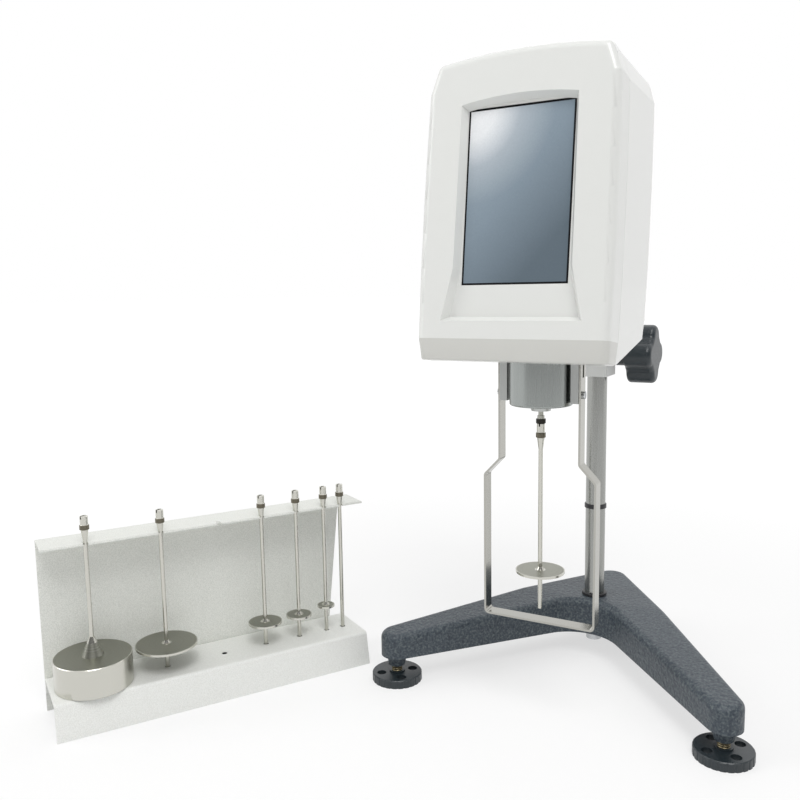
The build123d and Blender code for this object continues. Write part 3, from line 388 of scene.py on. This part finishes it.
# %% Painted shade along its edge
SHADE_LINE_SIDE = 0.0011
SHADE_LINE_TOP = 0.0013
# A near-black line round the glass: painted shade in the gap at its edge.
edge = across.distance().above(glass_half - SHADE_LINE_SIDE)
rim = (level - 0.5).distance().above(0.5 - SHADE_LINE_TOP / glass_height)
screen.feed("Base Color", screen.mix(edge.higher_of(rim), mottled_glass_with_painted_light, shade(16, 17, 20)))
dress(screen, "touch_screen")

# %% [markdown]
# ## Steel, several ways
#
# Ground steel is matt with fine lines along the bar. Polished steel only needs a low roughness
# and something to reflect. Plated screws sit in between. The lines are noise squeezed along
# one axis, so that it changes fast across the bar and hardly at all along it.


# %% Steel finishes
LINE_SPREAD = 0.12


def steel(name, color, roughness, streak, depth):
    """Bare metal whose fine lines run the way that streak squeezes the noise."""
    finish = Finish(name, color, roughness, 1.0)
    lines = finish.noise(1.0, 3.0, streak)
    finish.bump(lines, depth, 0.5)
    finish.feed("Roughness", (roughness - LINE_SPREAD / 2) + lines * LINE_SPREAD)
    return finish


ground = steel("ground column steel", shade(160, 161, 158), 0.27, (2600, 2600, 30), 0.00003)
satin = steel("satin cup steel", shade(158, 162, 160), 0.26, (1800, 1800, 24), 0.00003)
polished = steel("polished guard strip", shade(176, 175, 169), 0.16, (300, 300, 900), 0.00001)
plated = steel("plated fastener", shade(196, 198, 200), 0.26, (900, 900, 900), 0.00001)
milled = steel("milled rack steel", shade(150, 150, 150), 0.34, (900, 900, 60), 0.00003)
hanger_steel = steel("bead blasted hanger", shade(190, 192, 190), 0.4, (900, 900, 900), 0.00004)
dress(ground, "column", "head_arm")
dress(satin, "pivot_cup", "motor_shaft")
dress(hanger_steel, "guard_hanger_left", "guard_hanger_right", "bearing_nut")
dress(polished, "guard_leg")
dress(plated, "guard_screw_left", "guard_screw_right", "arm_screw", "probe_socket")
dress(plated, "column_bolt", "column_washer")
dress(milled, "column_rack", "pinion_shaft")

# %% [markdown]
# ## The drive shaft's black ring
#
# The shaft ends in a ring against which the spindle's coupling is screwed. The ring is blacked
# and the shaft above it is bright, and both are one solid, so a mask on height splits them.

# %% Drive shaft with its blacked ring
RING_HEIGHT = 0.0031
coupling_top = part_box("spindle_3")[1].z
shaft_tone = shade(170, 170, 162)
shaft_steel = Finish("drive shaft steel", shaft_tone, 0.25, 1.0)
shaft_height = shaft_steel.axes()[2]
blacked = 1.0 - shaft_height.above(coupling_top + RING_HEIGHT)
shaft_steel.feed("Base Color", shaft_steel.mix(blacked, shaft_tone, shade(52, 51, 48)))
dress(shaft_steel, "drive_shaft")

# %% [markdown]
# ## Spindles, turned on a lathe
#
# A spindle is one turned piece with three looks: a bright rod, a disc whose flat sides keep the
# rings of the tool, and a coupling with a knurled ring, whose dark tone is painted shade for the
# grooves of the knurl.
# Which look a point gets follows from its distance to the spindle's axis and from its height
# below the top, so one recipe serves all seven, each with its own axis.

# %% Spindle finishes
FILLET_REACH = 0.0038
RIM_WIDTH = 0.0006
COUPLING_LENGTH = 0.0185
KNURL_FROM = 0.0066
KNURL_TO = 0.0103
SPINDLE_COUNT = 7
bright = shade(204, 203, 195)
for number in range(1, SPINDLE_COUNT + 1):
    low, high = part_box(f"spindle_{number}")
    axis = ((low.x + high.x) / 2, (low.y + high.y) / 2)
    edge_radius = (high.x - low.x) / 2 - RIM_WIDTH
    turned = Finish(f"turned spindle {number}", bright, 0.2, 1.0)
    x, y, z = turned.axes()
    flat = turned.node("ShaderNodeCombineXYZ", {}, {"X": x - axis[0], "Y": y - axis[1]})
    reach = turned.node("ShaderNodeVectorMath", {"operation": "LENGTH"}, {0: flat}, 1)
    fine = {"W": reach, "Scale": 2600.0}
    rings = turned.node("ShaderNodeTexNoise", {"noise_dimensions": "1D"}, fine)
    on_disc = reach.above(FILLET_REACH) * (1.0 - reach.above(edge_radius))
    depth = high.z - z
    on_coupling = 1.0 - depth.above(COUPLING_LENGTH)
    disc_face = on_disc * (1.0 - on_coupling)
    # The knurled band is painted dark: painted shade of the knurl's grooves.
    knurl_painted_shade = depth.above(KNURL_FROM) * (1.0 - depth.above(KNURL_TO))
    face_tone = turned.mix(rings, shade(126, 127, 118), shade(168, 168, 158))
    tone = turned.mix(disc_face, bright, face_tone)
    turned.feed("Base Color", turned.mix(knurl_painted_shade, tone, shade(116, 111, 98)))
    turned.feed("Roughness", 0.18 + disc_face * 0.2 + rings * 0.06 + knurl_painted_shade * 0.2)
    turned.bump(rings * disc_face, 0.00003, 0.6)
    dress(turned, f"spindle_{number}")

# %% [markdown]
# ## Brass studs with a thread
#
# The levelling feet turn on brass studs. The solid stud is a plain bar, so the thread is a bump:
# a sine along the height with the pitch of the thread. Its colour is painted too, with painted
# shade in the grooves and a painted highlight on the crests. The other warm metals and the bent
# aluminium are hardly seen, so a plain finish does for each.

# %% Brass, bronze and aluminium
THREAD_PITCH = 0.0015
brass = Finish("worn brass", shade(150, 138, 108), 0.36, 1.0)
stud_height = brass.axes()[2]
turns = stud_height * (math.tau / THREAD_PITCH)
thread = brass.node("ShaderNodeMath", {"operation": "SINE"}, {0: turns})
THREAD_DEPTH = 0.0003
brass.bump(thread, THREAD_DEPTH, 0.8)
# Painted shade in the thread's grooves and a painted highlight on its crests.
painted_crest_light = thread * 0.5 + 0.5
brass.feed("Base Color", brass.mix(painted_crest_light, shade(104, 96, 76), shade(164, 152, 122)))
spring_bronze = Finish("spring bronze", shade(190, 158, 100), 0.3, 1.0)
bronze = Finish("sintered bronze", shade(168, 132, 84), 0.45, 1.0)
alloy = Finish("bent aluminium", shade(190, 191, 193), 0.40, 1.0)
dress(brass, "foot_stud_left", "foot_stud_right", "foot_stud_rear")
dress(spring_bronze, "hairspring")
dress(bronze, "guide_bush_lower", "guide_bush_upper", "pivot_bearing")
dress(alloy, "chassis", "motor_bridge", "motor_disc", "sensing_disc", "level_body")

# %% [markdown]
# ## Powder coat on the spindle rack
#
# The rack is folded sheet under a pale powder coat with darker specks. A ramp turns noise into
# specks with soft edges, and the same noise raises the orange peel of the coat. The panel is
# speckled more strongly than the tray, and both its colours are a little darker, which is painted
# shade: the upright panel gets less light than the tray. So one helper takes the two colours.


# %% Speckled powder coat
def powder_coat(name, pale, dark):
    """Powder coat over sheet metal: a pale colour broken by fine darker grains."""
    coat = Finish(name, pale, 0.46, specular_ior_level=0.4)
    grains = coat.noise(1500.0, 3.0)
    black_to_white = {"stops": [(0.36, (0, 0, 0, 1)), (0.66, (1, 1, 1, 1))]}
    amount = coat.node("ShaderNodeValToRGB", black_to_white, {0: grains})
    coat.feed("Base Color", coat.mix(amount, dark, pale))
    coat.feed("Roughness", 0.36 + grains * 0.2)
    coat.bump(grains, 0.0003, 0.6)
    return coat


tray_coat = powder_coat("tray powder coat", shade(245, 246, 243), shade(230, 231, 227))
# The panel's colours are a little darker than the tray's: painted shade, as well as stronger
# specks.
panel_coat_with_painted_shade = powder_coat("panel powder coat with painted shade", shade(242, 243, 238), shade(218, 220, 214))
dress(tray_coat, "rack_tray")
dress(panel_coat_with_painted_shade, "rack_panel")

# %% [markdown]
# ## Shade in the holes of the rack
#
# The tray's holes are a little wider than the tips that stand in them, and it is dark under
# the tray. A thin black ring just inside each hole keeps the bright floor from shining up.
# Two circles are bridged into a flat ring, and its faces are extruded down. The third hole is
# empty, because its spindle hangs in the instrument, so the ring there is all but closed.

# %% Where the holes are
EMPTY_HOLE = (-0.2433, -0.2564)
tray_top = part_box("rack_tray")[1].z
hole_places = [EMPTY_HOLE]
for number in (1, 2, 4, 5, 6, 7):
    low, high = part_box(f"spindle_{number}")
    hole_places.append(((low.x + high.x) / 2, (low.y + high.y) / 2))
print(len(hole_places), "holes")

# %% Black rings inside the holes
HOLE_RADIUS = 0.00215
TIP_RADIUS = 0.00175
PIN_PRICK = 0.00002
RING_DROP = 0.0005
RING_DEPTH = 0.0003
ring_mesh = bmesh.new()
for place in hole_places:
    centre = Matrix.Translation((*place, tray_top - RING_DROP))
    inside = PIN_PRICK if place == EMPTY_HOLE else TIP_RADIUS
    rims = []
    for radius in (HOLE_RADIUS, inside):
        circle = bmesh.ops.create_circle(ring_mesh, segments=24, radius=radius, matrix=centre)
        edges = [edge for vert in circle["verts"] for edge in vert.link_edges]
        rims += dict.fromkeys(edges)
    flat_ring = bmesh.ops.bridge_loops(ring_mesh, edges=rims)["faces"]
    pulled = bmesh.ops.extrude_face_region(ring_mesh, geom=flat_ring, use_keep_orig=True)
    below = [part for part in pulled["geom"] if isinstance(part, bmesh.types.BMVert)]
    bmesh.ops.translate(ring_mesh, verts=below, vec=(0, 0, -RING_DEPTH))
bmesh.ops.recalc_face_normals(ring_mesh, faces=ring_mesh.faces)
hole_black = Finish("shade in the holes", shade(18, 18, 18), 0.9, specular_ior_level=0.0)
hole_shades = add_object("hole_shades", ring_mesh, hole_black)
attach(hole_shades, "stand")
print("hole shades", len(hole_shades.data.polygons), "faces")

# %% [markdown]
# ## The small pieces
#
# What is left is black oxide, black plastic, board green, grey paint and the tinted vial of
# the level. Each is one even finish. The last line looks for a solid that was forgotten.

# %% The small dark and painted pieces
black = Finish("black oxide", shade(38, 38, 41), 0.4)
black_plastic = Finish("black plastic", shade(30, 30, 32), 0.42)
rocker_gloss = Finish("glossy rocker", shade(26, 26, 28), 0.18)
board = Finish("circuit board", shade(28, 92, 60), 0.45)
block_paint = Finish("light grey block paint", shade(205, 206, 204), 0.4, coat_weight=0.2)
vial = Finish("tinted vial", shade(190, 214, 110), 0.08, transmission_weight=0.5)
dress(black, "column_foot_ring", "stop_ring", "shaft_ring", "motor")
dress(black_plastic, "switch_frame", "power_inlet", "data_port", "display_module")
dress(rocker_gloss, "power_rocker")
dress(board, "display_board", "main_board")
dress(block_paint, "lift_block")
dress(vial, "level_vial")
plain = [name for name, solid in nodes.items() if solid.data.materials[0].node_tree is None]
print("solids without a finish:", plain)

# %% [markdown]
# ## A white studio
#
# In a product shot everything round the instrument is white. To the camera and to
# mirror-like surfaces the floor glows white by itself, and only a share of it takes light,
# so that the object's shadow stays. Away from the object that share fades to nothing, which
# hides the line where floor and world meet. The world does the same trick: it looks white,
# but it lights the surfaces at a lower level.

# %% Floor
FLOOR_SIZE = 30.0
SHADOW_SHARE = 0.42
SHADOW_FROM = 0.35
SHADOW_TO = 0.95
FLOOR_GLOW = 1.06
UNDER_OBJECT = (-0.05, -0.15, 0.0)
floor_paint = Finish("white floor", shade(244, 244, 244), 0.9, specular_ior_level=0.0)
floor_mesh = bmesh.new()
bmesh.ops.create_grid(floor_mesh, x_segments=1, y_segments=1, size=FLOOR_SIZE)
floor = add_object("floor", floor_mesh, floor_paint)
print("floor", floor.name)

# %% The floor's own white
path = floor_paint.node("ShaderNodeLightPath", {}, {}).socket.node.outputs
camera_ray = Value(floor_paint, path["Is Camera Ray"])
glossy_ray = Value(floor_paint, path["Is Glossy Ray"])
through_ray = Value(floor_paint, path["Is Transmission Ray"])
looked_at = camera_ray.higher_of(glossy_ray).higher_of(through_ray)
ends = {0: floor_paint.place(), 1: UNDER_OBJECT}
from_middle = floor_paint.node("ShaderNodeVectorMath", {"operation": "DISTANCE"}, ends, 1)
reach_of_shadow = {0: from_middle, 1: SHADOW_FROM, 2: SHADOW_TO, 3: 1.0 - SHADOW_SHARE, 4: 1.0}
far = floor_paint.node("ShaderNodeMapRange", {}, reach_of_shadow)
white_light = {"Color": (1, 1, 1, 1), "Strength": FLOOR_GLOW}
white = floor_paint.node("ShaderNodeEmission", {}, white_light)
blend = floor_paint.tree.nodes.new("ShaderNodeMixShader")
floor_paint.tree.links.new((looked_at * far).socket, blend.inputs[0])
floor_paint.tree.links.new(floor_paint.shader.outputs[0], blend.inputs[1])
floor_paint.tree.links.new(white.socket, blend.inputs[2])
surface = floor_paint.tree.nodes["Material Output"].inputs["Surface"]
floor_paint.tree.links.new(blend.outputs[0], surface)
print("shadow fades out at", SHADOW_TO, "m")

# %% World
AMBIENT = 0.55
world = bpy.data.worlds.new("studio")
bpy.context.scene.world = world
world.use_nodes = True
tree = world.node_tree
tree.nodes.clear()
seen = tree.nodes.new("ShaderNodeLightPath")
camera_or_glossy = tree.nodes.new("ShaderNodeMath")
camera_or_glossy.operation = "MAXIMUM"
tree.links.new(seen.outputs["Is Camera Ray"], camera_or_glossy.inputs[0])
tree.links.new(seen.outputs["Is Glossy Ray"], camera_or_glossy.inputs[1])
any_look = tree.nodes.new("ShaderNodeMath")
any_look.operation = "MAXIMUM"
tree.links.new(camera_or_glossy.outputs[0], any_look.inputs[0])
tree.links.new(seen.outputs["Is Transmission Ray"], any_look.inputs[1])
strength = tree.nodes.new("ShaderNodeMix")
strength.inputs[2].default_value = AMBIENT
strength.inputs[3].default_value = 1.0
tree.links.new(any_look.outputs[0], strength.inputs[0])
background = tree.nodes.new("ShaderNodeBackground")
background.inputs["Color"].default_value = (1, 1, 1, 1)
tree.links.new(strength.outputs[0], background.inputs["Strength"])
output = tree.nodes.new("ShaderNodeOutputWorld")
tree.links.new(background.outputs[0], output.inputs["Surface"])
print("world", world.name)

# %% [markdown]
# ## Something for steel to reflect
#
# In an all-white room polished steel is white too and loses its form. A studio puts grey
# cards in front of it. Here one tall curved card stands behind the camera. Only mirror-like
# reflections see it: it gives no light, casts no shadow and never shows in the picture.

# %% Grey card
CARD_RADIUS = 3.0
CARD_FOOT = 0.02
CARD_TOP = 2.4
CARD_START = math.radians(-128)
CARD_SWEEP = math.radians(140)
CARD_GREY = 0.18
card_mesh = bmesh.new()
start = Vector((math.cos(CARD_START), math.sin(CARD_START), 0)) * CARD_RADIUS
upright = [card_mesh.verts.new(start + Vector((0, 0, z))) for z in (CARD_FOOT, CARD_TOP)]
bmesh.ops.spin(
    card_mesh,
    geom=[*upright, card_mesh.edges.new(upright)],
    axis=(0, 0, 1),
    angle=CARD_SWEEP,
    steps=24,
)
card_paint = Finish("grey card", (0, 0, 0, 1), 1.0, specular_ior_level=0.0)
card_paint.shader.inputs["Emission Color"].default_value = (CARD_GREY, CARD_GREY, CARD_GREY, 1)
card_paint.shader.inputs["Emission Strength"].default_value = 1.0
card = add_object("grey_card", card_mesh, card_paint)
card.visible_camera = False
card.visible_diffuse = False
card.visible_transmission = False
card.visible_shadow = False
print("card", card.name, "of", len(card.data.polygons), "faces")

# %% [markdown]
# ## Lamps and camera
#
# Three large soft lamps keep every shadow faint. The key lamp is high and to the right, so what
# faces up is brightest and the chin stays a little darker than the face, helped by the painted
# shade in its tone. The fill lamp brightens the left sides, and the weak back lamp rims the top
# of the base. The camera is given by where it stands, how it is turned and the focal length in
# widths of one pixel.


# %% Lamps
def soft_lamp(name, place, aim, width, height, watts):
    """A rectangle of light at place, turned to face aim."""
    data = bpy.data.lights.new(name, "AREA")
    data.shape = "RECTANGLE"
    data.size = width
    data.size_y = height
    data.energy = watts
    lamp = bpy.data.objects.new(name, data)
    direction = Vector(aim) - Vector(place)
    turn = direction.to_track_quat("-Z", "Y").to_matrix().to_4x4()
    lamp.matrix_world = Matrix.Translation(Vector(place)) @ turn
    bpy.context.scene.collection.objects.link(lamp)
    print(name, watts, "W")


middle = (0.0, -0.15, 0.25)
soft_lamp("key", (0.8, -1.3, 2.2), middle, 1.2, 1.2, 26.0)
soft_lamp("fill", (-1.5, -1.1, 1.1), middle, 0.8, 1.2, 8.0)
soft_lamp("back", (-0.1, 1.3, 1.6), middle, 1.4, 0.9, 3.0)

# %% Camera
PICTURE_WIDTH = 800
FOCAL_PIXELS = 838.25
CAMERA_PLACE = Vector((0.19767, -0.7458, 0.31379))
yaw = math.radians(29.34)
pitch = math.radians(7.48)
roll = math.radians(0.96)
level_ahead = Vector((-math.sin(yaw), math.cos(yaw), 0))
ahead = level_ahead * math.cos(pitch) - Vector((0, 0, math.sin(pitch)))
right = Vector((math.cos(yaw), math.sin(yaw), 0))
down = ahead.cross(right)
rolled_right = right * math.cos(roll) + down * math.sin(roll)
rolled_down = down * math.cos(roll) - right * math.sin(roll)
lens = bpy.data.cameras.new("camera")
lens.sensor_width = 36.0
lens.lens = FOCAL_PIXELS * lens.sensor_width / PICTURE_WIDTH
lens.clip_start = 0.01
lens.clip_end = 100.0
camera = bpy.data.objects.new("camera", lens)
turn = Matrix((rolled_right, -rolled_down, -ahead)).transposed().to_4x4()
camera.matrix_world = Matrix.Translation(CAMERA_PLACE) @ turn
bpy.context.scene.collection.objects.link(camera)
bpy.context.scene.camera = camera
bpy.context.scene.view_settings.view_transform = "Standard"
print("camera at", [round(v, 3) for v in camera.location])
